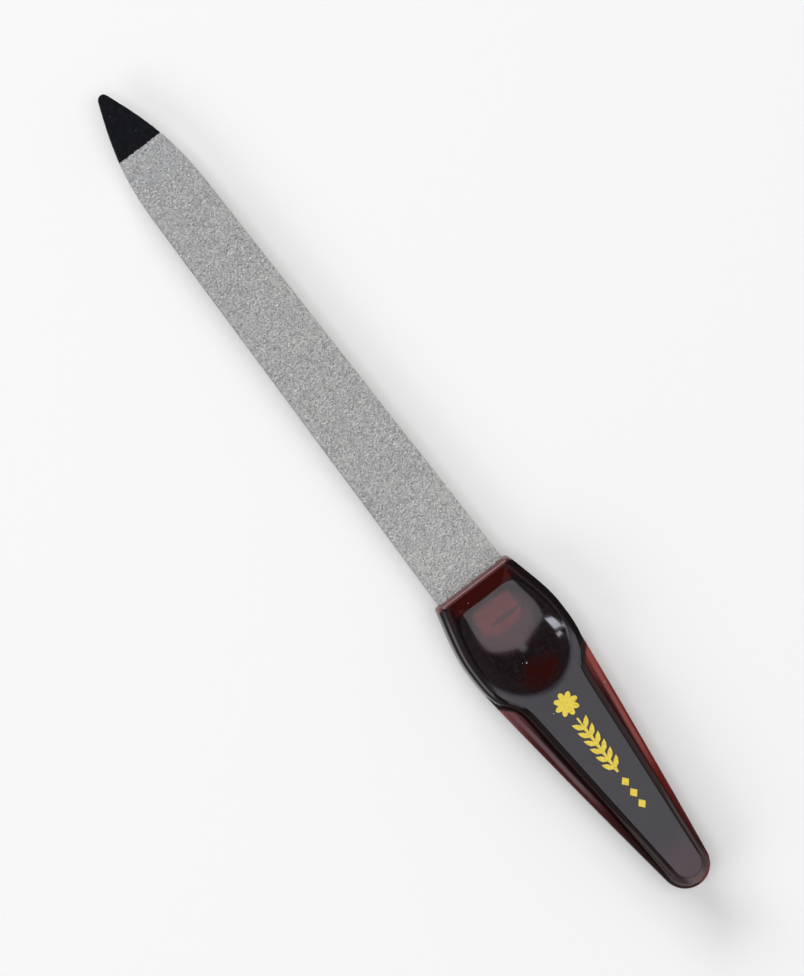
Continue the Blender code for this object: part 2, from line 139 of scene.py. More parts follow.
class ShaderGraph:
    """One procedural material, wired by short calls. Its places and lengths are in millimetres."""

    def __init__(self, name: str) -> None:
        """Starts the material.

        Args:
            name: The material's name.
        """
        self.material = bpy.data.materials.new(name)
        self.material.use_nodes = True
        self.tree = self.material.node_tree
        self.shader = self.tree.nodes["Principled BSDF"]
        scaled = self.add("ShaderNodeVectorMath", operation="SCALE")
        self.tree.links.new(self.add("ShaderNodeTexCoord").outputs["Object"], scaled.inputs[0])
        scaled.inputs["Scale"].default_value = 1 / MM
        self.place = scaled.outputs[0]
        split = self.add("ShaderNodeSeparateXYZ")
        self.tree.links.new(self.place, split.inputs[0])
        self.x, self.y, self.z = split.outputs

    def add(self, kind: str, **settings: object) -> bpy.types.Node:
        """Adds a node.

        Args:
            kind: The node's type.
            **settings: Properties to set on it.

        Returns:
            The new node.
        """
        node = self.tree.nodes.new(kind)
        for key, value in settings.items():
            setattr(node, key, value)
        return node

    def feed(self, socket: bpy.types.NodeSocket, value: object) -> None:
        """Links a socket to another one, or sets it to a constant.

        Args:
            socket: The socket that takes the value.
            value: A socket, a number or a Colour.
        """
        if isinstance(value, bpy.types.NodeSocket):
            self.tree.links.new(value, socket)
        else:
            socket.default_value = value.linear() if isinstance(value, Colour) else value

    def math(
        self, operation: str, first: Feed, second: Feed = 0.0, clamp: bool = False
    ) -> bpy.types.NodeSocket:
        """Adds one step of arithmetic.

        Args:
            operation: The Math node's operation.
            first: The first number.
            second: The second number, where the operation takes one.
            clamp: Whether the result is kept between 0 and 1.

        Returns:
            The result's socket.
        """
        node = self.add("ShaderNodeMath", operation=operation, use_clamp=clamp)
        self.feed(node.inputs[0], first)
        self.feed(node.inputs[1], second)
        return node.outputs[0]

    def every(self, *masks: Feed) -> bpy.types.NodeSocket:
        """Multiplies masks.

        Args:
            *masks: The masks, or numbers that scale them.

        Returns:
            The product's socket, which is 1 where all of them are.
        """
        total = masks[0]
        for mask in masks[1:]:
            total = self.math("MULTIPLY", total, mask)
        return total

    def fade(self, value: Feed, zero: float, one: float) -> bpy.types.NodeSocket:
        """A soft step.

        Args:
            value: The number that is tested.
            zero: Where the result is 0.
            one: Where the result is 1.

        Returns:
            The step's socket.
        """
        node = self.add("ShaderNodeMapRange", interpolation_type="SMOOTHSTEP")
        self.feed(node.inputs["Value"], value)
        node.inputs["From Min"].default_value = zero
        node.inputs["From Max"].default_value = one
        return node.outputs["Result"]

    def spread(self, value: Feed, low: float, high: float) -> bpy.types.NodeSocket:
        """Stretches a 0 to 1 value.

        Args:
            value: The value.
            low: The result at 0.
            high: The result at 1.

        Returns:
            The stretched value's socket.
        """
        node = self.add("ShaderNodeMapRange")
        self.feed(node.inputs["Value"], value)
        node.inputs["To Min"].default_value = low
        node.inputs["To Max"].default_value = high
        return node.outputs["Result"]

    def blend(self, share: Feed, first: Feed, second: Feed) -> bpy.types.NodeSocket:
        """Blends two numbers.

        Args:
            share: How much of the second one.
            first: The first number.
            second: The second number.

        Returns:
            The blend's socket.
        """
        node = self.add("ShaderNodeMix", data_type="FLOAT")
        for socket, value in zip(node.inputs[:1] + node.inputs[2:4], (share, first, second)):
            self.feed(socket, value)
        return node.outputs[0]

    def mix(self, share: Feed, first: object, second: object) -> bpy.types.NodeSocket:
        """Blends two colours.

        Args:
            share: How much of the second one.
            first: A Colour or a socket.
            second: A Colour or a socket.

        Returns:
            The blend's socket.
        """
        node = self.add("ShaderNodeMix", data_type="RGBA")
        for socket, value in zip(node.inputs[:1] + node.inputs[6:8], (share, first, second)):
            self.feed(socket, value)
        return node.outputs[2]

    def stretched(self, scale: tuple[float, float, float]) -> bpy.types.NodeSocket:
        """The place, scaled along each axis.

        Args:
            scale: The factors.

        Returns:
            The scaled place's socket.
        """
        node = self.add("ShaderNodeMapping")
        self.feed(node.inputs["Vector"], self.place)
        node.inputs["Scale"].default_value = scale
        return node.outputs[0]

    def noise(self, clouds: Clouds, place: bpy.types.NodeSocket | None = None) -> bpy.types.NodeSocket:
        """Soft cloudy noise.

        Args:
            clouds: Its clouds.
            place: Where it is read, if not at the plain place.

        Returns:
            The noise's socket, mostly from 0.3 to 0.7.
        """
        node = self.add("ShaderNodeTexNoise")
        self.feed(node.inputs["Vector"], place or self.place)
        node.inputs["Scale"].default_value = 1 / clouds.size
        node.inputs["Detail"].default_value = clouds.detail
        node.inputs["Roughness"].default_value = clouds.roughness
        return node.outputs["Fac"]

    def patches(self, clouds: Clouds, place: bpy.types.NodeSocket | None = None) -> bpy.types.NodeSocket:
        """Cloudy noise as patches with soft edges.

        Args:
            clouds: Its clouds.
            place: Where it is read, if not at the plain place.

        Returns:
            A mask that is 1 on a patch.
        """
        return self.fade(self.noise(clouds, place), *clouds.turn)

    def cells(self, size: float) -> bpy.types.Node:
        """Cells of random size.

        Args:
            size: Their usual width, in millimetres.

        Returns:
            The Voronoi node.
        """
        node = self.add("ShaderNodeTexVoronoi")
        self.feed(node.inputs["Vector"], self.place)
        node.inputs["Scale"].default_value = 1 / size
        return node

    def random_of(self, cells: bpy.types.Node, channel: int = 0) -> bpy.types.NodeSocket:
        """A random number for each cell.

        Args:
            cells: The Voronoi node.
            channel: Which of its three random numbers.

        Returns:
            The number's socket, from 0 to 1.
        """
        split = self.add("ShaderNodeSeparateColor")
        self.feed(split.inputs[0], cells.outputs["Color"])
        return split.outputs[channel]

    def specks(self, specks: Specks) -> bpy.types.NodeSocket:
        """Strews small separate dots, soft from their rim to half their radius.

        Args:
            specks: The dots.

        Returns:
            A mask that is 1 on a dot.
        """
        cells = self.cells(specks.size)
        chosen = self.math("GREATER_THAN", self.random_of(cells), 1 - specks.share)
        return self.every(chosen, self.fade(cells.outputs["Distance"], specks.radius, specks.radius / 2))

    def set_look(
        self, colour: object, rough: Feed, metallic: float = 0.0, ior: float = 1.5, gloss: Feed = 0.5
    ) -> None:
        """Sets the shader's main inputs.

        Args:
            colour: A Colour or a socket.
            rough: How rough the surface is.
            metallic: 1 for metal.
            ior: The index of refraction.
            gloss: The specular level, 0.5 for what the index of refraction gives.
        """
        for name, value in (
            ("Base Color", colour),
            ("Roughness", rough),
            ("Metallic", metallic),
            ("IOR", ior),
            ("Specular IOR Level", gloss),
        ):
            self.feed(self.shader.inputs[name], value)

    def set_bumps(self, *layers: tuple[bpy.types.NodeSocket, float]) -> None:
        """Chains bumps into the shader's normal.

        Args:
            *layers: A height from 0 to 1 and what its full height is in millimetres, for each bump.
        """
        normal = None
        for height, rise in layers:
            node = self.add("ShaderNodeBump")
            node.inputs["Strength"].default_value = 1.0
            node.inputs["Distance"].default_value = rise * MM
            self.feed(node.inputs["Height"], height)
            if normal is not None:
                self.feed(node.inputs["Normal"], normal)
            normal = node.outputs["Normal"]
        self.feed(self.shader.inputs["Normal"], normal)


class Finish:
    """A surface finish, which wires its own material."""

    def material(self, name: str) -> bpy.types.Material:
        """Makes the material.

        Args:
            name: Its name.

        Returns:
            The material.
        """
        graph = ShaderGraph(name)
        self.wire(graph)
        return graph.material

    def wire(self, graph: ShaderGraph) -> None:
        """Wires the finish.

        Args:
            graph: The material's graph.
        """
        raise NotImplementedError


@dataclass(frozen=True)
class StampedSteel(Finish):
    """Stainless steel with fine marks from blanking, drawn through its thickness."""

    bright: Colour = Colour(188, 189, 192)
    dull: Colour = Colour(140, 141, 145)
    marks: Clouds = Clouds(1.0, 3.0, 0.6, (0.3, 0.7))
    mark_stretch: tuple[float, float, float] = (9.0, 9.0, 0.5)
    mark_height: float = 0.02
    stains: Clouds = Clouds(1.6, 4.0)
    rough: Pair = (0.22, 0.5)

    def wire(self, graph: ShaderGraph) -> None:
        """Wires the finish.

        Args:
            graph: The material's graph.
        """
        drawn = graph.noise(self.marks, graph.stretched(self.mark_stretch))
        colour = graph.mix(graph.fade(drawn, *self.marks.turn), self.dull, self.bright)
        graph.set_look(colour, graph.spread(graph.noise(self.stains), *self.rough), metallic=1.0)
        graph.set_bumps((drawn, self.mark_height))


@dataclass(frozen=True)
class BondResin(Finish):
    """Cured grey resin that holds the grain."""

    light: Colour = Colour(142, 143, 145)
    dark: Colour = Colour(96, 97, 100)
    clots: Clouds = Clouds(0.25, 3.0, 0.65, (0.35, 0.65))
    clot_height: float = 0.04
    rough: Pair = (0.45, 0.75)

    def wire(self, graph: ShaderGraph) -> None:
        """Wires the finish.

        Args:
            graph: The material's graph.
        """
        clots = graph.noise(self.clots)
        colour = graph.mix(graph.fade(clots, *self.clots.turn), self.dark, self.light)
        graph.set_look(colour, graph.spread(clots, *self.rough))
        graph.set_bumps((clots, self.clot_height))


@dataclass(frozen=True)
class SapphireGrain(Finish):
    """Crushed sapphire: mottled grey crystals, a few of them painted near white as glints, and a few dark
    pits.

    Its edges are places along X. The grain is paler near the heel, darker next to the handle, cooler at the
    tip.
    """

    dark: Colour = Colour(86, 87, 89)
    light: Colour = Colour(222, 221, 216)
    cool: Colour = Colour(152, 158, 172)
    # Colour of the painted glints; those grains are also smoother, so part of their shine is real reflection
    glint: Colour = Colour(250, 250, 248)
    pit: Colour = Colour(74, 74, 76)
    grain: float = 0.2
    grain_share: float = 0.42
    grain_height: float = 0.05
    crumb: float = 0.1
    crumb_share: float = 0.38
    crumb_height: float = 0.02
    clumps: Clouds = Clouds(0.9, 3.0, 0.6)
    clump_share: float = 0.2
    heel_edge: Pair = (2.0, -10.0)
    heel_lift: float = 0.05
    handle_side_dark_edge: Pair = (-12.7, -14.3)
    handle_side_darkening: float = -0.08
    tip_edge: Pair = (36.0, 52.0)
    cool_share: Pair = (0.3, 0.6)
    cool_grains: Pair = (0.4, 0.9)
    pits: Specks = Specks(0.26, 0.02, 0.45)
    glints: Specks = Specks(0.23, 0.012, 0.5)
    rough: Pair = (0.62, 0.2)
    ior: float = 1.6

    def wire(self, graph: ShaderGraph) -> None:
        """Wires the finish.

        Args:
            graph: The material's graph.
        """
        grains = graph.cells(self.grain)
        crumbs = graph.cells(self.crumb)
        shade = graph.every(graph.random_of(grains), self.grain_share)
        for layer, share in (
            (graph.random_of(crumbs), self.crumb_share),
            (graph.noise(self.clumps), self.clump_share),
            (graph.fade(graph.x, *self.heel_edge), self.heel_lift),
            # The grain is made darker next to the handle
            (graph.fade(graph.x, *self.handle_side_dark_edge), self.handle_side_darkening),
        ):
            shade = graph.math("ADD", shade, graph.every(layer, share))
        colour = graph.mix(shade, self.dark, self.light)
        near_tip = graph.spread(graph.fade(graph.x, *self.tip_edge), *self.cool_share)
        cool = graph.every(graph.fade(graph.random_of(grains, 1), *self.cool_grains), near_tip)
        colour = graph.mix(cool, colour, self.cool)
        colour = graph.mix(graph.specks(self.pits), colour, self.pit)
        # Painted glints: a few grains near white, also smoother so that they catch the lamps
        glints = graph.specks(self.glints)
        colour = graph.mix(glints, colour, self.glint)
        graph.set_look(colour, graph.spread(glints, *self.rough), ior=self.ior)
        graph.set_bumps(
            (grains.outputs["Distance"], self.grain_height), (crumbs.outputs["Distance"], self.crumb_height)
        )


@dataclass(frozen=True)
class BlackDip(Finish):
    """Matte black coat over grain, with the grain's bumps soft under it and a few dull specks."""

    black: Colour = Colour(8, 9, 16)
    worn: Colour = Colour(24, 26, 32)
    speck: Colour = Colour(60, 64, 68)
    wear: Clouds = Clouds(0.7, 3.0, 0.6, (0.45, 0.8))
    wear_height: float = 0.05
    specks: Specks = Specks(0.5, 0.05, 0.26)
    fine: Clouds = Clouds(0.16)
    fine_height: float = 0.012
    rough: Pair = (0.5, 0.75)
    gloss: float = 0.12

    def wire(self, graph: ShaderGraph) -> None:
        """Wires the finish.

        Args:
            graph: The material's graph.
        """
        wear = graph.noise(self.wear)
        colour = graph.mix(graph.fade(wear, *self.wear.turn), self.black, self.worn)
        colour = graph.mix(graph.specks(self.specks), colour, self.speck)
        graph.set_look(colour, graph.spread(wear, *self.rough), gloss=self.gloss)
        graph.set_bumps((wear, self.wear_height), (graph.noise(self.fine), self.fine_height))


@dataclass(frozen=True)
class Oval:
    """A soft oval on the handle.

    Its middle is given behind the handle's front edge and along Y, then its half length and half width, and
    how soft its edge is, as a share of its size.
    """

    place: float
    across: float
    half: float
    wide: float
    soft: float = 0.6


@dataclass(frozen=True)
class HandleZones:
    """The handle's surface as sockets.

    The first three are distances: behind the front edge, off the axis and off the middle level. The others
    are masks, each 1 on its part: the side of +Y, the flat face, the front with the dish, the rib behind it,
    all that lies outside the dish, the ledge, the wings, and the front edge, where a highlight is painted.
    """

    behind: bpy.types.NodeSocket
    aside: bpy.types.NodeSocket
    level: bpy.types.NodeSocket
    far: bpy.types.NodeSocket
    flat: bpy.types.NodeSocket
    front: bpy.types.NodeSocket
    rib: bpy.types.NodeSocket
    flank: bpy.types.NodeSocket
    ledge: bpy.types.NodeSocket
    wing: bpy.types.NodeSocket
    lit_brow: bpy.types.NodeSocket


@dataclass(frozen=True)
class HandlePlastic(Finish):
    """Dark red-brown translucent plastic: satin flats, polished dishes and walls, glowing thin wings.

    Places are in millimetres behind the handle's front edge, off its axis, or off its middle level. A pair of
    places is where a mask is 0 and where it is 1, and a strength in a pair is its value at 0 and at 1. Two
    colours, rises or glosses are for the sides of -Y and +Y, but the ledges' glosses are for the bolster and
    for the rib. In each pair of colours the one for -Y is lighter: painted light and shade by side.
    """

    front: float
    middle: float

    # Colours of the flat face and of the dish
    body: Colour = Colour(21, 13, 16)
    haze: Colour = Colour(39, 31, 33)
    # The flat face's colours are partly painted sheen of the overhead lamp; the rest of its shine is real
    # reflection
    flat: Colour = Colour(48, 45, 52)
    flat_tail: Colour = Colour(67, 49, 57)
    # Painted shade: the flat face beside the dish, darker as it catches less of the overhead lamp
    shaded_strip: Colour = Colour(29, 24, 26)
    corner: Colour = Colour(60, 21, 20)
    # Painted highlight: the front edge is lighter for the light it catches; part of its shine is real
    # reflection
    lit_brow: Colour = Colour(85, 38, 37)
    mouth: Colour = Colour(71, 19, 14)
    # Partly painted reflection: the dish's lighter middle, where the overhead lamp is mirrored
    dish_middle_sheen: Colour = Colour(66, 42, 52)
    tang: Colour = Colour(104, 48, 53)
    # Painted glow of light let through the thin plastic
    glow: Colour = Colour(46, 6, 1)
    dust: Colour = Colour(170, 170, 175)

    # Colours of the steps around the handle
    bolster_side: Colour = Colour(24, 14, 17)
    riser: Sides = (Colour(34, 17, 19), Colour(21, 11, 13))
    ledge: Sides = (Colour(60, 46, 46), Colour(27, 17, 18))
    ledge_tail: Sides = (Colour(53, 39, 39), Colour(30, 18, 20))
    # Painted highlight line along the ledge
    ledge_highlight: Sides = (Colour(60, 46, 46), Colour(45, 37, 36))
    ledge_highlight_tail: Sides = (Colour(80, 70, 69), Colour(64, 58, 56))
    wall: Sides = (Colour(54, 27, 27), Colour(24, 7, 8))
    end_ring: Sides = (Colour(84, 70, 73), Colour(66, 52, 55))
    end_crown: Colour = Colour(118, 103, 106)
    end_wall: Sides = (Colour(126, 82, 75), Colour(62, 44, 43))

    # Colours of the wings
    wing_rim: Sides = (Colour(122, 29, 19), Colour(64, 12, 13))
    wing_tail: Sides = (Colour(90, 28, 23), Colour(31, 6, 5))
    wing_end: Sides = (Colour(56, 31, 30), Colour(30, 13, 14))
    # Painted shade along the wings' roots by the wall
    wing_root_shade: Sides = (Colour(66, 20, 20), Colour(28, 6, 7))
    wing_glow: Sides = (Colour(156, 89, 87), Colour(112, 88, 90))
    wing_neck: Sides = (Colour(200, 96, 88), Colour(150, 92, 94))
    # Painted shade where the wings start by the bolster
    wing_foot_shade: Sides = (Colour(66, 44, 46), Colour(34, 20, 25))

    # The flat face, and the band of it beside the dish painted darker as shade
    far_edge: Pair = (-0.5, 0.5)
    flat_edge: Pair = (2.88, 2.99)
    flat_tail_edge: Pair = (41.0, 47.2)
    shaded_strip_edge: Pair = (14.5, 10.5)
    corner_edge: Pair = (5.0, 1.0)
    corner_share: float = 0.6
    brow_edge: Pair = (1.0, 0.7)
    behind_brow: Pair = (0.5, 1.2)

    # The dish, whose sides bow outwards and whose front, the nose, is steep
    bolster_place: float = 10.3
    bolster_curve: float = 0.026
    dish_side: Pair = (6.62, 6.74)
    dish_rear: Pair = (17.2, 17.8)
    nose_edge: Pair = (2.92, 2.76)
    nose_half: float = 4.9
    nose_bow: float = -1.2
    nose_squareness: float = 8.0

    # The steps: riser, ledge with a painted highlight line along it, shoulder and wall
    level_softness: float = 0.04
    riser_top: float = 2.96
    riser_edge: Pair = (2.65, 2.75)
    ledge_top: float = 2.65
    ledge_foot: float = 2.45
    ledge_turn: Pair = (34.0, 41.0)
    ledge_highlight_level: float = 2.49
    ledge_highlight_rise: Pair = (0.1, 0.06)
    ledge_highlight_edge: Pair = (0.07, 0.02)
    shoulder_edge: Pair = (2.45, 2.33)
    wall_top: float = 1.7
    rib_edge: Pair = (14.2, 17.2)
    rib_colour_edge: Pair = (13.7, 17.2)
    end_edge: Pair = (45.5, 48.5)
    crown_edge: Pair = (1.9, 0.6)

    # The wings, which narrow towards the tail
    wing_top: Pair = (0.92, 0.87)
    wing_front: Pair = (13.1, 13.8)
    wing_rear: Pair = (48.5, 47.0)
    wing_start: float = 13.4
    wing_outer: float = 7.53
    wing_taper: float = 0.1256
    wing_middle: float = 0.57
    wing_glow_side: Pair = (0.45, 0.1)
    wing_glow_rear: Pair = (36.0, 29.0)
    wing_glow_clouds: Clouds = Clouds(3.5)
    wing_glow_strength: Pair = (0.8, 1.1)
    wing_drift: float = 0.24
    wing_drift_edge: Pair = (31.0, 20.0)
    wing_root_shade_edge: Pair = (0.67, 0.97)
    wing_tail_edge: Pair = (31.0, 42.0)
    wing_end_edge: Pair = (42.5, 46.0)
    wing_neck_edge: Pair = (23.4, 14.4)
    wing_neck_share: float = 0.6
    wing_foot_shade_edge: Pair = (23.35, 22.75)

    # What lies under the dish: the blade's heel, the tang with its hole, and a painted glow of light behind
    # them
    heel_rear: Pair = (3.4, 2.3)
    heel_side: Pair = (5.0, 4.1)
    heel_strength: Pair = (0.7, 1.0)
    tang_front: Pair = (3.35, 4.05)
    tang_rear: Pair = (8.55, 7.65)
    tang_side: Pair = (3.3, 2.7)
    tang_bow: float = 0.12
    tang_rags: Clouds = Clouds(0.9, 3.0, 0.6)
    tang_raggedness: float = 1.3
    tang_streaks: Clouds = Clouds(1.0, 3.0, 0.6, (0.35, 0.65))
    tang_stretch: tuple[float, float, float] = (2.6, 0.7, 0.7)
    tang_strength: Pair = (0.6, 1.0)
    tang_hole: Oval = Oval(6.4, -0.9, 0.36, 2.3)
    # Where the painted reflection in the dish's middle lies
    dish_middle_sheen_spot: Oval = Oval(7.0, 0.0, 3.9, 4.1, 0.4)
    glow_spot: Oval = Oval(14.9, 0.0, 1.85, 2.7, 0.9)
    glow_strength: Pair = (0.5, 1.1)
    blotches: Clouds = Clouds(1.1, 3.0, 0.6)
    haze_clouds: Clouds = Clouds(0.45, 5.0, 0.75, (0.4, 0.7))
    haze_share: float = 0.8

    # The faint arc left by a pin of the mould, with its outer and inner size, and specks of dust
    pin: Oval = Oval(5.83, -3.0, 1.07, 0.76, 0.12)
    pin_ring: Pair = (1.08, 0.94)
    pin_side: Pair = (-2.8, -3.2)
    pin_share: float = 0.5
    lint: Specks = Specks(2.6, 0.05, 0.03)
    marks: tuple[Oval, ...] = (
        Oval(12.98, 0.79, 0.1, 0.1),
        Oval(12.7, 1.25, 0.05, 0.05),
        Oval(20.4, 2.1, 0.07, 0.07),
        Oval(21.2, -6.0, 0.08, 0.08),
        Oval(2.1, 2.2, 0.06, 0.06),
    )

    # Roughness, gloss and bumps
    polished: float = 0.07
    satin: float = 0.3
    ledge_rough: float = 0.13
    wing_rough: float = 0.5
    smears: Clouds = Clouds(4.0, 4.0, 0.6, (0.45, 0.75))
    smear_rough: float = 0.05
    gloss: float = 0.5
    nose_gloss: float = 0.05
    strip_gloss: float = 0.1
    brow_gloss: float = 0.22
    riser_gloss: float = 0.05
    near_ledge_gloss: Pair = (0.05, 0.2)
    far_ledge_gloss: Pair = (0.42, 0.12)
    ledge_front_edge: Pair = (1.0, 4.5)
    ledge_front_strength: Pair = (0.4, 1.0)
    shoulder_gloss: Pair = (0.0, 0.015)
    wall_gloss: Pair = (0.14, 0.28)
    wing_gloss: float = 0.1
    ior: float = 1.49
    spark: Clouds = Clouds(0.12)
    spark_height: float = 0.008
    waves: Clouds = Clouds(3.0, 1.0)
    wave_height: float = 0.006

    def wire(self, graph: ShaderGraph) -> None:
        """Wires the finish.

        Args:
            graph: The material's graph.
        """
        zones = self.zones(graph)
        colour = self.surface_colour(graph, zones)
        rough = self.roughness(graph, zones)
        graph.set_look(colour, rough, ior=self.ior, gloss=self.reflectance(graph, zones))
        spark = graph.every(graph.noise(self.spark), zones.flat)
        graph.set_bumps((spark, self.spark_height), (graph.noise(self.waves), self.wave_height))

    def zones(self, graph: ShaderGraph) -> HandleZones:
        """Finds the parts of the surface.

        Args:
            graph: The material's graph.

        Returns:
            The parts.
        """
        behind = graph.math("SUBTRACT", self.front, graph.x)
        aside = graph.math("ABSOLUTE", graph.y)
        level = graph.math("ABSOLUTE", graph.math("SUBTRACT", graph.z, self.middle))
        flank = self.flank(graph, behind, aside)
        wing = graph.every(
            graph.fade(level, *self.wing_top),
            graph.fade(behind, *self.wing_front),
            graph.fade(behind, *self.wing_rear),
        )
        return HandleZones(
            behind=behind,
            aside=aside,
            level=level,
            far=graph.fade(graph.y, *self.far_edge),
            flat=graph.fade(level, *self.flat_edge),
            front=graph.fade(behind, *self.shaded_strip_edge),
            rib=graph.fade(behind, *self.rib_edge),
            flank=flank,
            ledge=graph.every(flank, self.between(graph, level, self.ledge_foot, self.ledge_top)),
            wing=wing,
            lit_brow=graph.fade(behind, *self.brow_edge),
        )

    def flank(self, graph: ShaderGraph, behind: Feed, aside: Feed) -> bpy.types.NodeSocket:
        """Finds what lies outside the dish: the bolster's sides and everything behind the dish.

        Args:
            graph: The material's graph.
            behind: The distance behind the front edge.
            aside: The distance off the axis.

        Returns:
            A mask that is 1 there, and 0 in the dish and on the front.
        """
        off = graph.math("POWER", graph.math("SUBTRACT", behind, self.bolster_place), 2.0)
        reach = graph.math("ADD", aside, graph.every(off, self.bolster_curve))
        beside = graph.fade(reach, *self.dish_side)
        past_dish = graph.fade(behind, *self.dish_rear)
        past_front = graph.fade(behind, *self.behind_brow)
        return graph.every(graph.math("MAXIMUM", beside, past_dish), past_front)

    def between(self, graph: ShaderGraph, level: Feed, low: float, high: float) -> bpy.types.NodeSocket:
        """A band of levels.

        Args:
            graph: The material's graph.
            level: The level, off the handle's middle.
            low: Where the band begins.
            high: Where it ends.

        Returns:
            A mask that is 1 in the band.
        """
        soft = self.level_softness
        return graph.every(graph.fade(level, low, low + soft), graph.fade(level, high + soft, high))

    def spot(self, graph: ShaderGraph, behind: Feed, oval: Oval, scale: float = 1.0) -> bpy.types.NodeSocket:
        """Draws a soft oval.

        Args:
            graph: The material's graph.
            behind: The distance behind the front edge.
            oval: The oval.
            scale: How much larger it is drawn.

        Returns:
            A mask that is 1 in the oval.
        """
        length = graph.math("DIVIDE", graph.math("SUBTRACT", behind, oval.place), oval.half * scale)
        width = graph.math("DIVIDE", graph.math("SUBTRACT", graph.y, oval.across), oval.wide * scale)
        reach = graph.math("ADD", graph.math("POWER", length, 2.0), graph.math("POWER", width, 2.0))
        return graph.fade(reach, 1.0 + oval.soft, 1.0 - oval.soft)

    def surface_colour(self, graph: ShaderGraph, zones: HandleZones) -> bpy.types.NodeSocket:
        """Colours the whole handle.

        Args:
            graph: The material's graph.
            zones: The parts of the surface.

        Returns:
            The colour's socket.
        """
        colour = graph.mix(zones.flank, self.under_colour_and_light(graph, zones), self.flank_colour(graph, zones))
        # Partly painted sheen on the flat face
        face = graph.mix(graph.fade(zones.behind, *self.flat_tail_edge), self.flat, self.flat_tail)
        # Painted shade on the flat face beside the dish
        face = graph.mix(zones.front, face, self.shaded_strip)
        corner = graph.every(graph.fade(zones.behind, *self.corner_edge), self.corner_share)
        face = graph.mix(corner, face, self.corner)
        colour = graph.mix(zones.flat, colour, face)
        # Painted highlight along the front edge
        colour = graph.mix(zones.lit_brow, colour, self.lit_brow)
        colour = graph.mix(zones.wing, colour, self.wing_colour(graph, zones))
        dust = graph.specks(self.lint)
        for mark in self.marks:
            dust = graph.math("MAXIMUM", dust, self.spot(graph, zones.behind, mark))
        return graph.mix(dust, colour, self.dust)

    def roughness(self, graph: ShaderGraph, zones: HandleZones) -> bpy.types.NodeSocket:
        """Polishes the dishes and walls, and dulls the flats, ledges and wings.

        Args:
            graph: The material's graph.
            zones: The parts of the surface.

        Returns:
            The roughness's socket.
        """
        rough = graph.spread(zones.flat, self.polished, self.satin)
        for mask, added in (
            (zones.ledge, self.ledge_rough - self.polished),
            (zones.wing, self.wing_rough - self.polished),
            (graph.patches(self.smears), self.smear_rough),
        ):
            rough = graph.math("ADD", rough, graph.every(mask, added))
        return rough

    def reflectance(self, graph: ShaderGraph, zones: HandleZones) -> bpy.types.NodeSocket:
        """Sets how much of the room each part reflects. A later part of the list lies over an earlier one.

        Args:
            graph: The material's graph.
            zones: The parts of the surface.

        Returns:
            The socket of the shader's specular level.
        """
        bow = graph.math("POWER", graph.math("DIVIDE", zones.aside, self.nose_half), self.nose_squareness)
        depth = graph.math("ADD", zones.behind, graph.every(bow, self.nose_bow))
        risers = graph.every(zones.flank, self.between(graph, zones.level, 0.0, self.riser_top))
        shoulders = graph.every(zones.flank, self.between(graph, zones.level, 0.0, self.ledge_foot))
        beside_dish = graph.fade(zones.rib, 1.0, 0.0)
        walls = graph.every(zones.flank, self.between(graph, zones.level, 0.0, self.wall_top), beside_dish)
        near_ledge = graph.spread(zones.rib, *self.near_ledge_gloss)
        far_ledge = graph.spread(zones.rib, *self.far_ledge_gloss)
        dimmed = graph.spread(graph.fade(zones.behind, *self.ledge_front_edge), *self.ledge_front_strength)
        layers = (
            (graph.fade(depth, *self.nose_edge), self.nose_gloss),
            (graph.every(zones.flat, zones.front), self.strip_gloss),
            (risers, self.riser_gloss),
            (zones.ledge, graph.blend(zones.far, near_ledge, graph.every(far_ledge, dimmed))),
            (shoulders, graph.spread(zones.far, *self.shoulder_gloss)),
            (walls, graph.spread(zones.far, *self.wall_gloss)),
            (zones.lit_brow, self.brow_gloss),
            (zones.wing, self.wing_gloss),
        )
        gloss = self.gloss
        for mask, value in layers:
            gloss = graph.blend(mask, gloss, value)
        return gloss

    def flank_colour(self, graph: ShaderGraph, zones: HandleZones) -> bpy.types.NodeSocket:
        """Colours the steps around the handle, by their level, with a painted highlight line along the ledge.

        Args:
            graph: The material's graph.
            zones: The parts of the surface.

        Returns:
            The colour's socket.
        """
        behind, level, far = zones.behind, zones.level, zones.far
        tail = graph.fade(behind, *self.ledge_turn)
        ledge = graph.mix(tail, graph.mix(far, *self.ledge), graph.mix(far, *self.ledge_tail))
        # Painted highlight line along the ledge
        ledge_highlight = graph.mix(tail, graph.mix(far, *self.ledge_highlight), graph.mix(far, *self.ledge_highlight_tail))
        middle = graph.math("ADD", graph.every(tail, graph.spread(far, *self.ledge_highlight_rise)), self.ledge_highlight_level)
        off = graph.math("ABSOLUTE", graph.math("SUBTRACT", level, middle))
        ledge = graph.mix(graph.fade(off, *self.ledge_highlight_edge), ledge, ledge_highlight)
        colour = graph.mix(graph.fade(level, *self.riser_edge), ledge, graph.mix(far, *self.riser))
        end = graph.fade(behind, *self.end_edge)
        crown = graph.fade(zones.aside, *self.crown_edge)
        colour = graph.mix(end, colour, graph.mix(crown, graph.mix(far, *self.end_ring), self.end_crown))
        wall = graph.mix(end, graph.mix(far, *self.wall), graph.mix(far, *self.end_wall))
        colour = graph.mix(graph.fade(level, *self.shoulder_edge), colour, wall)
        return graph.mix(graph.fade(behind, *self.rib_colour_edge), self.bolster_side, colour)

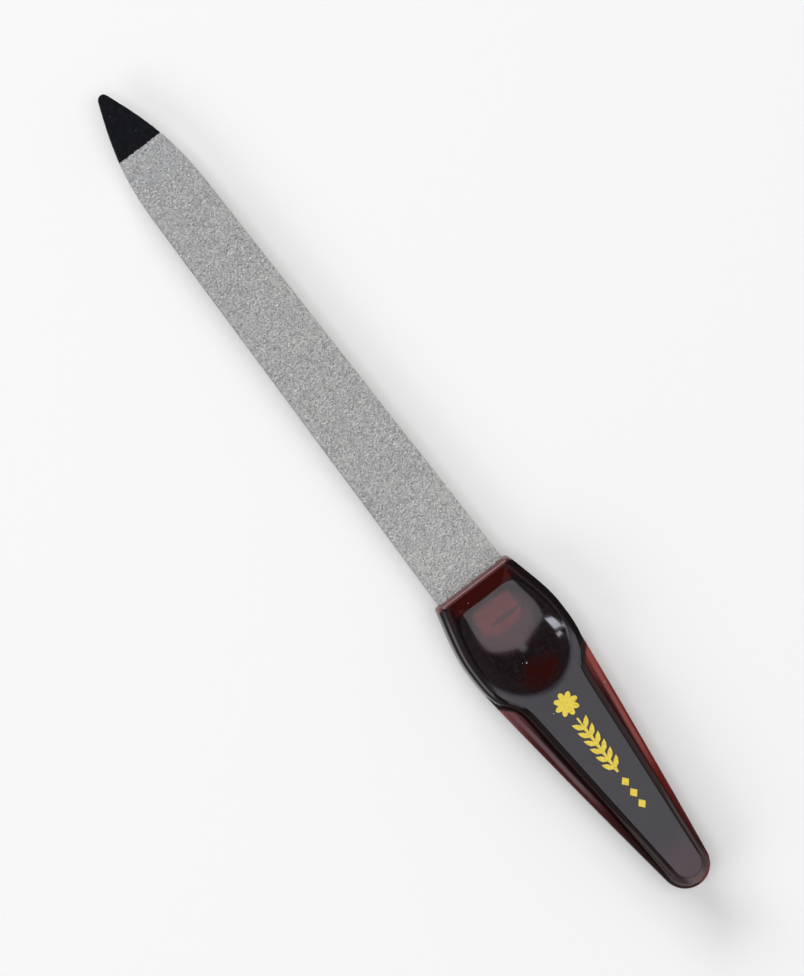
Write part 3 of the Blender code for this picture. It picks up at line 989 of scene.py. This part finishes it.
    def wing_colour(self, graph: ShaderGraph, zones: HandleZones) -> bpy.types.NodeSocket:
        """Colours the wings: light gathers along their middle, up to where they narrow; shade is painted at
        their roots and by the bolster.

        Args:
            graph: The material's graph.
            zones: The parts of the surface.

        Returns:
            The colour's socket.
        """
        behind, aside, far = zones.behind, zones.aside, zones.far
        narrowing = graph.every(graph.math("SUBTRACT", behind, self.wing_start), self.wing_taper)
        inward = graph.math("SUBTRACT", graph.math("SUBTRACT", self.wing_outer, narrowing), aside)
        drift = graph.every(far, graph.fade(behind, *self.wing_drift_edge), self.wing_drift)
        along = graph.math("ADD", drift, self.wing_middle)
        off = graph.math("ABSOLUTE", graph.math("SUBTRACT", inward, along))
        glow = graph.every(
            graph.fade(off, *self.wing_glow_side),
            graph.fade(behind, *self.wing_glow_rear),
            graph.spread(graph.noise(self.wing_glow_clouds), *self.wing_glow_strength),
        )
        neck = graph.every(graph.fade(behind, *self.wing_neck_edge), self.wing_neck_share)
        # Painted shade where the wings start by the bolster
        foot_shade = graph.fade(graph.math("ADD", behind, aside), *self.wing_foot_shade_edge)
        colour = graph.mix(far, *self.wing_rim)
        for mask, pair in (
            (graph.fade(behind, *self.wing_tail_edge), self.wing_tail),
            (graph.fade(behind, *self.wing_end_edge), self.wing_end),
            # Painted shade along the roots by the wall
            (graph.fade(inward, *self.wing_root_shade_edge), self.wing_root_shade),
            (glow, self.wing_glow),
            (neck, self.wing_neck),
            (foot_shade, self.wing_foot_shade),
        ):
            colour = graph.mix(mask, colour, graph.mix(far, *pair))
        return colour

    def under_colour_and_light(self, graph: ShaderGraph, zones: HandleZones) -> bpy.types.NodeSocket:
        """Colours the plastic by the blade's heel, the tang and its hole under it, and paints a sheen and a
        glow.

        Args:
            graph: The material's graph.
            zones: The parts of the surface.

        Returns:
            The colour's socket.
        """
        blotches = graph.patches(self.blotches)
        haze = graph.every(graph.patches(self.haze_clouds), self.haze_share)
        # The dish's middle made lighter, partly a painted reflection of the overhead lamp
        dish_middle_sheen = self.spot(graph, zones.behind, self.dish_middle_sheen_spot)
        colour = graph.mix(dish_middle_sheen, graph.mix(haze, self.body, self.haze), self.dish_middle_sheen)
        heel = graph.every(
            graph.fade(zones.behind, *self.heel_rear),
            graph.fade(zones.aside, *self.heel_side),
            graph.spread(blotches, *self.heel_strength),
        )
        colour = graph.mix(heel, colour, self.mouth)
        streaks = graph.patches(self.tang_streaks, graph.stretched(self.tang_stretch))
        tang = graph.every(self.tang_mask(graph, zones), graph.spread(streaks, *self.tang_strength))
        colour = graph.mix(tang, colour, self.tang)
        outer, inner = (self.spot(graph, zones.behind, self.pin, scale) for scale in self.pin_ring)
        ring = graph.math("SUBTRACT", outer, inner, clamp=True)
        arc = graph.every(ring, graph.fade(graph.y, *self.pin_side), self.pin_share)
        colour = graph.mix(arc, colour, self.body)
        # Painted glow: light let through the thin plastic behind the tang
        glow = graph.every(
            self.spot(graph, zones.behind, self.glow_spot), graph.spread(blotches, *self.glow_strength)
        )
        return graph.mix(glow, colour, self.glow)

    def tang_mask(self, graph: ShaderGraph, zones: HandleZones) -> bpy.types.NodeSocket:
        """Finds where the tang shows: ragged in front and behind, bowed behind, and open at its hole.

        Args:
            graph: The material's graph.
            zones: The parts of the surface.

        Returns:
            A mask that is 1 over the tang.
        """
        wander = graph.math("SUBTRACT", graph.noise(self.tang_rags), MIDDLE_OF_NOISE)
        ragged = graph.math("ADD", zones.behind, graph.every(wander, self.tang_raggedness))
        bow = graph.every(graph.math("POWER", zones.aside, 2.0), self.tang_bow)
        tang = graph.every(
            graph.fade(ragged, *self.tang_front),
            graph.fade(graph.math("ADD", ragged, bow), *self.tang_rear),
            graph.fade(zones.aside, *self.tang_side),
        )
        hole = self.spot(graph, zones.behind, self.tang_hole)
        return graph.math("SUBTRACT", tang, graph.every(hole, tang), clamp=True)


@dataclass(frozen=True)
class YellowFoil(Finish):
    """Hot-stamped yellow foil, slightly uneven and thin in places."""

    yellow: Colour = Colour(242, 215, 72)
    thin: Colour = Colour(206, 178, 60)
    wear: Clouds = Clouds(0.22, 3.0, 0.65, (0.68, 0.48))
    wear_height: float = 0.006
    rough: Pair = (0.35, 0.6)

    def wire(self, graph: ShaderGraph) -> None:
        """Wires the finish.

        Args:
            graph: The material's graph.
        """
        wear = graph.noise(self.wear)
        colour = graph.mix(graph.fade(wear, *self.wear.turn), self.thin, self.yellow)
        graph.set_look(colour, graph.spread(wear, *self.rough))
        graph.set_bumps((wear, self.wear_height))


@dataclass(frozen=True)
class StudioPaper(Finish):
    """The matte white paper that the file lies on."""

    white: Colour = Colour(247, 247, 246)
    rough: float = 0.9
    gloss: float = 0.1
    fibres: Clouds = Clouds(2.0, 4.0, 0.6)
    fibre_height: float = 0.01
    lift: float = 0.09

    def wire(self, graph: ShaderGraph) -> None:
        """Wires the finish, a little brighter to the camera and with its shadows kept.

        Args:
            graph: The material's graph.
        """
        graph.set_look(self.white, self.rough, gloss=self.gloss)
        graph.set_bumps((graph.noise(self.fibres), self.fibre_height))
        rays = graph.add("ShaderNodeLightPath")
        seen = graph.math("MAXIMUM", rays.outputs["Is Camera Ray"], rays.outputs["Is Glossy Ray"])
        seen = graph.math("MAXIMUM", seen, rays.outputs["Is Transmission Ray"])
        graph.feed(graph.shader.inputs["Emission Color"], WHITE)
        graph.feed(graph.shader.inputs["Emission Strength"], graph.every(seen, self.lift))


class Bench:
    """Modelling steps that several pieces share."""

    digits: int = 7
    touch: float = 1e-7

    @staticmethod
    def put_down_all() -> None:
        """Deselects every object."""
        bpy.ops.object.select_all(action="DESELECT")

    @staticmethod
    def pick_up(piece: bpy.types.Object) -> None:
        """Makes a piece the only selected object and the active one.

        Args:
            piece: The piece.
        """
        Bench.put_down_all()
        piece.select_set(True)
        bpy.context.view_layer.objects.active = piece

    @staticmethod
    def copy(source: bpy.types.Object, name: str) -> bpy.types.Object:
        """Copies an object with its own mesh.

        Args:
            source: The object.
            name: The copy's name.

        Returns:
            The copy.
        """
        piece = bpy.data.objects.new(name, source.data.copy())
        piece.data.name = name
        bpy.context.scene.collection.objects.link(piece)
        return piece

    @staticmethod
    def sheet(name: str, corners: Corners, level: float, cell: float) -> bpy.types.Object:
        """A flat square-meshed sheet over a box, its place in its mesh.

        Args:
            name: The sheet's name.
            corners: The box's lowest and highest corners.
            level: The sheet's height.
            cell: The width of its squares.

        Returns:
            The sheet.
        """
        low, high = corners
        length, width = high.x - low.x, high.y - low.y
        Bench.put_down_all()
        bpy.ops.mesh.primitive_grid_add(
            x_subdivisions=round(length / cell), y_subdivisions=round(width / cell), size=1.0
        )
        piece = bpy.context.active_object
        piece.name = name
        piece.data.name = name
        piece.scale = (length, width, 1.0)
        piece.location = ((low.x + high.x) / 2, (low.y + high.y) / 2, level)
        bpy.ops.object.transform_apply(location=True, rotation=True, scale=True)
        return piece

    @staticmethod
    def outline(node: bpy.types.Object) -> list[Vector]:
        """The outline of a node seen from above, which bulges everywhere.

        Args:
            node: The node.

        Returns:
            Its corners, in order.
        """
        spots = {(round(v.co.x, Bench.digits), round(v.co.y, Bench.digits)) for v in node.data.vertices}
        points = [Vector(spot) for spot in sorted(spots)]
        return [points[index] for index in convex_hull_2d(points)]

    @staticmethod
    def trim(piece: bpy.types.Object, outline: list[Vector]) -> None:
        """Cuts a sheet to an outline, one straight cut along each of its sides.

        Args:
            piece: The sheet.
            outline: The outline's corners, in order.
        """
        middle = sum(outline, Vector((0.0, 0.0))) / len(outline)
        Bench.pick_up(piece)
        bpy.ops.object.mode_set(mode="EDIT")
        for first, second in zip(outline, outline[1:] + outline[:1]):
            along = second - first
            across = Vector((along.y, -along.x, 0.0)).normalized()
            if across.xy.dot(first - middle) < 0:
                across.negate()
            bpy.ops.mesh.select_all(action="SELECT")
            bpy.ops.mesh.bisect(
                plane_co=(*first, 0.0), plane_no=across, clear_outer=True, threshold=Bench.touch
            )
        bpy.ops.object.mode_set(mode="OBJECT")

    @staticmethod
    def group(piece: bpy.types.Object, name: str, chosen: list[int]) -> None:
        """Names a set of points, for a modifier.

        Args:
            piece: The piece.
            name: The set's name.
            chosen: The points' numbers.
        """
        piece.vertex_groups.new(name=name).add(chosen, 1.0, "REPLACE")

    @staticmethod
    def texture(name: str, kind: str, size: float, **settings: object) -> bpy.types.Texture:
        """A texture for displacement.

        Args:
            name: Its name.
            kind: Its type.
            size: The size of its forms.
            **settings: Further properties to set on it.

        Returns:
            The texture.
        """
        texture = bpy.data.textures.new(name, kind)
        texture.noise_scale = size
        for key, value in settings.items():
            setattr(texture, key, value)
        return texture

    @staticmethod
    def roughen(
        piece: bpy.types.Object, texture: bpy.types.Texture, strength: float, direction: str, group: str = ""
    ) -> None:
        """Displaces a piece by a texture and applies it.

        Args:
            piece: The piece.
            texture: The texture.
            strength: The whole travel.
            direction: The modifier's direction.
            group: The set of points that moves, if not all.
        """
        modifier = piece.modifiers.new(texture.name, "DISPLACE")
        modifier.texture = texture
        modifier.texture_coords = "LOCAL"
        modifier.direction = direction
        modifier.strength = strength
        modifier.mid_level = 0.5
        modifier.vertex_group = group
        Bench.apply(piece, modifier)

    @staticmethod
    def apply(piece: bpy.types.Object, modifier: bpy.types.Modifier) -> None:
        """Applies a modifier.

        Args:
            piece: The piece.
            modifier: Its modifier.
        """
        Bench.pick_up(piece)
        bpy.ops.object.modifier_apply(modifier=modifier.name)

    @staticmethod
    def keep_inside(piece: bpy.types.Object, corners: Corners) -> None:
        """Moves the points that lie outside a box onto its faces.

        Args:
            piece: The piece.
            corners: The box's lowest and highest corners.
        """
        for vertex in piece.data.vertices:
            vertex.co = [min(max(value, low), high) for value, low, high in zip(vertex.co, *corners)]

    @staticmethod
    def dress(piece: bpy.types.Object, material: bpy.types.Material) -> None:
        """Gives a piece or a node its material.

        Args:
            piece: The object.
            material: The material.
        """
        if piece.material_slots:
            piece.material_slots[0].material = material
        else:
            piece.data.materials.append(material)

    @staticmethod
    def hand_over(piece: bpy.types.Object, node: str, slot: str) -> None:
        """Lets a piece stand for a node.

        Args:
            piece: The piece.
            node: The node that it replaces.
            slot: The record's material slot; not used.
        """
        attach(piece, BODY)
        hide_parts(node)
        LOG.info("%s: %d faces, for %s", piece.name, len(piece.data.polygons), node)


@dataclass
class Blade:
    """The steel blank with its bond coats and two layers of grain."""

    nodes: dict[str, bpy.types.Object]
    cell: float = 0.0001
    grain_size: float = 0.00032
    grain_height: float = 0.00008
    crumble_size: float = 0.0003
    crumble: float = 0.00006
    steel: StampedSteel = field(default_factory=StampedSteel)
    resin: BondResin = field(default_factory=BondResin)
    grain: SapphireGrain = field(default_factory=SapphireGrain)

    def build(self) -> None:
        """Builds the grain layers and dresses the blank and its coats."""
        Bench.dress(self.nodes["blade_blank"], self.steel.material("stamped_steel"))
        resin = self.resin.material("bond_resin")
        for name in ("upper_bond_coat", "lower_bond_coat"):
            Bench.dress(self.nodes[name], resin)
            LOG.info("%s: dressed", name)
        upper = self.blank_layer("upper_grit_layer", "upper_grain")
        lower = self.turned_over(upper, "lower_grain")
        material = self.grain.material("sapphire_grain")
        for piece, node, face in (
            (upper, "upper_grit_layer", Face.UPPER),
            (lower, "lower_grit_layer", Face.LOWER),
        ):
            self.strew(piece, face)
            Bench.dress(piece, material)
            Bench.hand_over(piece, node, "sapphire_grit")

    def blank_layer(self, node: str, name: str) -> bpy.types.Object:
        """A finely meshed flat layer with the outline and the thickness of a node.

        Args:
            node: The node.
            name: The layer's name.

        Returns:
            The layer.
        """
        low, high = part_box(node)
        piece = Bench.sheet(name, (Vector(low), Vector(high)), high[2], self.cell)
        Bench.trim(piece, Bench.outline(self.nodes[node]))
        Bench.group(piece, "top", [v.index for v in piece.data.vertices])
        Bench.pick_up(piece)
        bpy.ops.object.mode_set(mode="EDIT")
        bpy.ops.mesh.select_mode(type="EDGE")
        bpy.ops.mesh.select_all(action="DESELECT")
        bpy.ops.mesh.select_non_manifold()
        bpy.ops.mesh.extrude_region_move(TRANSFORM_OT_translate={"value": (0.0, 0.0, low[2] - high[2])})
        bpy.ops.object.vertex_group_set_active(group="top")
        bpy.ops.object.vertex_group_remove_from()
        bpy.ops.mesh.edge_face_add()
        bpy.ops.mesh.select_all(action="SELECT")
        bpy.ops.mesh.normals_make_consistent(inside=False)
        bpy.ops.object.mode_set(mode="OBJECT")
        return piece

    def turned_over(self, piece: bpy.types.Object, name: str) -> bpy.types.Object:
        """A copy of a layer turned over onto the blade's other face.

        Args:
            piece: The layer.
            name: The copy's name.

        Returns:
            The copy.
        """
        low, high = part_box("blade_blank")
        middle = Vector((0.0, 0.0, (low[2] + high[2]) / 2))
        turn = Matrix.Rotation(math.pi, 4, "X")
        other = Bench.copy(piece, name)
        other.data.transform(Matrix.Translation(middle) @ turn @ Matrix.Translation(-middle))
        return other

    def strew(self, piece: bpy.types.Object, face: Face) -> None:
        """Raises the grain on a layer and crumbles its rim.

        Args:
            piece: The layer.
            face: The face of the blade that it lies on.
        """
        side = face.name.lower()
        bumps = Bench.texture(f"{side}_grain_bumps", "VORONOI", self.grain_size)
        Bench.roughen(piece, bumps, face.value * self.grain_height, "Z", "top")
        rim = Bench.texture(f"{side}_crumbled_rim", "CLOUDS", self.crumble_size, cloud_type="COLOR")
        Bench.roughen(piece, rim, self.crumble, "RGB_TO_XYZ")


@dataclass
class Point:
    """The black coat on the blade's point."""

    nodes: dict[str, bpy.types.Object]
    limits: Corners
    cell: float = 0.0002
    voxel: float = 0.00007
    overlap: float = 0.00012
    soften_steps: int = 3
    ragged: float = 0.00016
    ragged_size: float = 0.00035
    bump_size: float = 0.0005
    bump_height: float = 0.00005
    dip: BlackDip = field(default_factory=BlackDip)

    def build(self) -> None:
        """Builds and dresses the coat, its rear edge ragged where it ends on the grain."""
        low, high = (Vector(corner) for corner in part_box("tip_coat"))
        piece = Bench.sheet("black_point", (low, high), high.z, self.cell)
        Bench.trim(piece, Bench.outline(self.nodes["tip_coat"]))
        self.thicken(piece, low.z - high.z)
        remesh = piece.modifiers.new("even_mesh", "REMESH")
        remesh.mode = "VOXEL"
        remesh.voxel_size = self.voxel
        Bench.apply(piece, remesh)
        soften = piece.modifiers.new("soft_rims", "SMOOTH")
        soften.iterations = self.soften_steps
        Bench.apply(piece, soften)
        self.reach_back(piece, low.x)
        bumps = Bench.texture("coat_bumps", "CLOUDS", self.bump_size)
        Bench.roughen(piece, bumps, self.bump_height, "NORMAL")
        Bench.keep_inside(piece, self.limits)
        Bench.pick_up(piece)
        bpy.ops.object.shade_smooth()
        Bench.dress(piece, self.dip.material("black_dip"))
        Bench.hand_over(piece, "tip_coat", "tip_paint")

    def thicken(self, piece: bpy.types.Object, drop: float) -> None:
        """Gives the sheet its thickness.

        Args:
            piece: The sheet.
            drop: How far down its other face lies.
        """
        Bench.pick_up(piece)
        bpy.ops.object.mode_set(mode="EDIT")
        bpy.ops.mesh.select_all(action="SELECT")
        bpy.ops.mesh.extrude_region_move(TRANSFORM_OT_translate={"value": (0.0, 0.0, drop)})
        bpy.ops.mesh.select_all(action="SELECT")
        bpy.ops.mesh.normals_make_consistent(inside=False)
        bpy.ops.object.mode_set(mode="OBJECT")

    def reach_back(self, piece: bpy.types.Object, rear: float) -> None:
        """Pulls the rear edge a little way over the grain and makes it ragged.

        Args:
            piece: The coat.
            rear: Where the coat ends.
        """
        edge = [v.index for v in piece.data.vertices if v.co.x < rear + self.overlap]
        for index in edge:
            piece.data.vertices[index].co.x -= self.overlap
        Bench.group(piece, "rear", edge)
        texture = Bench.texture("ragged_edge", "CLOUDS", self.ragged_size)
        Bench.roughen(piece, texture, self.ragged, "X", "rear")


@dataclass
class Handle:
    """The moulded handle."""

    nodes: dict[str, bpy.types.Object]
    limits: Corners
    merge: float = 0.000002
    crease: float = math.radians(19)
    rounding: float = 0.00006
    rounding_steps: int = 3
    smooth_angle: float = math.radians(40)

    def build(self) -> None:
        """Builds the shell with rounded edges and dresses it."""
        piece = Bench.copy(self.nodes["handle"], "handle_shell")
        Bench.pick_up(piece)
        bpy.ops.object.mode_set(mode="EDIT")
        bpy.ops.mesh.select_all(action="SELECT")
        bpy.ops.mesh.customdata_custom_splitnormals_clear()
        bpy.ops.mesh.remove_doubles(threshold=self.merge)
        bpy.ops.mesh.normals_make_consistent(inside=False)
        bpy.ops.mesh.select_mode(type="EDGE")
        bpy.ops.mesh.select_all(action="DESELECT")
        bpy.ops.mesh.edges_select_sharp(sharpness=self.crease)
        bpy.ops.mesh.bevel(
            offset=self.rounding, segments=self.rounding_steps, affect="EDGES", clamp_overlap=False
        )
        bpy.ops.object.mode_set(mode="OBJECT")
        Bench.keep_inside(piece, self.limits)
        bpy.ops.object.shade_smooth_by_angle(angle=self.smooth_angle)
        weighted = piece.modifiers.new("even_shading", "WEIGHTED_NORMAL")
        weighted.keep_sharp = True
        Bench.apply(piece, weighted)
        low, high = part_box("handle")
        plastic = HandlePlastic(front=high[0] / MM, middle=(low[2] + high[2]) / 2 / MM)
        Bench.dress(piece, plastic.material("red_brown_plastic"))
        Bench.hand_over(piece, "handle", "handle_plastic")


@dataclass
class Ornament:
    """The foil marks on the handle."""

    nodes: dict[str, bpy.types.Object]
    foil: YellowFoil = field(default_factory=YellowFoil)

    def build(self) -> None:
        """Dresses each mark."""
        material = self.foil.material("yellow_foil")
        for name, node in sorted(self.nodes.items()):
            if name.startswith("foil_"):
                Bench.dress(node, material)
                LOG.info("%s: dressed", name)


@dataclass(frozen=True)
class Lamp:
    """A flat soft lamp, level with the floor unless it is aimed at the file."""

    name: str
    place: Vector
    size: Pair
    radiance: float
    colour: Colour = WHITE
    aimed: bool = False
    round_shape: bool = False

    def hang(self) -> None:
        """Hangs the lamp."""
        light = bpy.data.lights.new(self.name, "AREA")
        light.shape = "ELLIPSE" if self.round_shape else "RECTANGLE"
        light.size, light.size_y = self.size
        area = self.size[0] * self.size[1] * (math.pi / 4 if self.round_shape else 1.0)
        light.energy = self.radiance * math.pi * area
        light.color = self.colour.linear()[:3]
        holder = bpy.data.objects.new(self.name, light)
        facing = self.place.to_track_quat("Z", "Y") if self.aimed else Quaternion()
        holder.matrix_world = Matrix.Translation(self.place) @ facing.to_matrix().to_4x4()
        bpy.context.scene.collection.objects.link(holder)


@dataclass
class Studio:
    """The floor, the lights and the camera."""

    floor_width: float = 4.0
    camera_distance: float = 1.0
    camera_tilt: float = math.radians(6)
    seen_height: float = 0.128
    sensor: float = 24.0
    clip: Pair = (0.01, 20.0)
    target: Vector = field(default_factory=lambda: Vector((0.00003, -0.00023, 0.004)))
    picture_up: Vector = field(default_factory=lambda: Vector((0.7955, -0.606)))
    lamps: tuple[Lamp, ...] = (
        Lamp("ceiling_panel", Vector((-0.4, -0.08, 1.6)), (1.0, 2.0), 1.65, round_shape=True),
        Lamp("panel_end", Vector((0.126, -0.165, 1.6)), (0.056, 0.09), 1.65),
        Lamp("key_lamp", Vector((0.108, 0.73, 1.6)), (0.186, 0.31), 11.8, Colour(240, 241, 255)),
        Lamp("key_lamp_side", Vector((0.287, 0.605, 1.6)), (0.058, 0.17), 9.0, Colour(240, 241, 255)),
        Lamp("window", Vector((0.2, 1.9, 1.05)), (1.6, 0.9), 2.6, aimed=True),
        Lamp("fill_lamp", Vector((2.0, 0.0, 0.85)), (1.9, 0.8), 8.3, aimed=True),
    )
    sky: tuple[Pair, ...] = (
        (0.0, 0.5),
        (0.25, 0.42),
        (0.5, 0.3),
        (0.8, 0.16),
        (0.9, 0.06),
        (1.0, 0.05),
    )

    def build(self) -> None:
        """Sets the whole studio."""
        self.lay_floor()
        self.light_sky()
        for lamp in self.lamps:
            lamp.hang()
        self.place_camera()
        LOG.info("studio: floor, sky, %d lamps and camera", len(self.lamps))

    def lay_floor(self) -> None:
        """Lays the paper."""
        Bench.put_down_all()
        bpy.ops.mesh.primitive_plane_add(size=self.floor_width)
        floor = bpy.context.active_object
        floor.name = "studio_floor"
        Bench.dress(floor, StudioPaper().material("studio_paper"))
        floor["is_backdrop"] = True

    def light_sky(self) -> None:
        """Lights the room: pale near the horizon and dim overhead."""
        world = bpy.data.worlds.new("studio_sky")
        world.use_nodes = True
        tree = world.node_tree
        place = tree.nodes.new("ShaderNodeTexCoord")
        split = tree.nodes.new("ShaderNodeSeparateXYZ")
        ramp = tree.nodes.new("ShaderNodeValToRGB")
        tree.links.new(place.outputs["Generated"], split.inputs[0])
        tree.links.new(split.outputs["Z"], ramp.inputs[0])
        tree.links.new(ramp.outputs[0], tree.nodes["Background"].inputs["Color"])
        points = ramp.color_ramp.elements
        while len(points) < len(self.sky):
            points.new(0.5)
        for point, (rise, light) in zip(points, self.sky):
            point.position = rise
            point.color = (light, light, light, 1.0)
        bpy.context.scene.world = world

    def place_camera(self) -> None:
        """Places the camera over the file, tilted as the photograph's was."""
        back = Vector((0.0, math.sin(self.camera_tilt), math.cos(self.camera_tilt)))
        along = Vector((1.0, 0.0, 0.0))
        across = back.cross(along)
        up = self.picture_up.x * along + self.picture_up.y * across
        up.normalize()
        right = up.cross(back)
        camera = bpy.data.cameras.new("camera")
        camera.sensor_fit = "VERTICAL"
        camera.sensor_height = self.sensor
        camera.lens = self.camera_distance * self.sensor / self.seen_height
        camera.clip_start, camera.clip_end = self.clip
        holder = bpy.data.objects.new("camera", camera)
        turn = Matrix((right, up, back)).transposed()
        holder.matrix_world = Matrix.Translation(self.target + back * self.camera_distance) @ turn.to_4x4()
        bpy.context.scene.collection.objects.link(holder)
        bpy.context.scene.camera = holder


def main() -> None:
    """Loads the solids and builds each sub-assembly in order."""
    logging.basicConfig(level=logging.INFO, format="%(name)s: %(message)s")
    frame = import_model()
    nodes = frame["nodes"]
    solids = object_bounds()
    Studio().build()
    Blade(nodes).build()
    Point(nodes, solids).build()
    Handle(nodes, solids).build()
    Ornament(nodes).build()
    bpy.context.scene.view_settings.view_transform = "Standard"


if __name__ == "__main__":
    main()
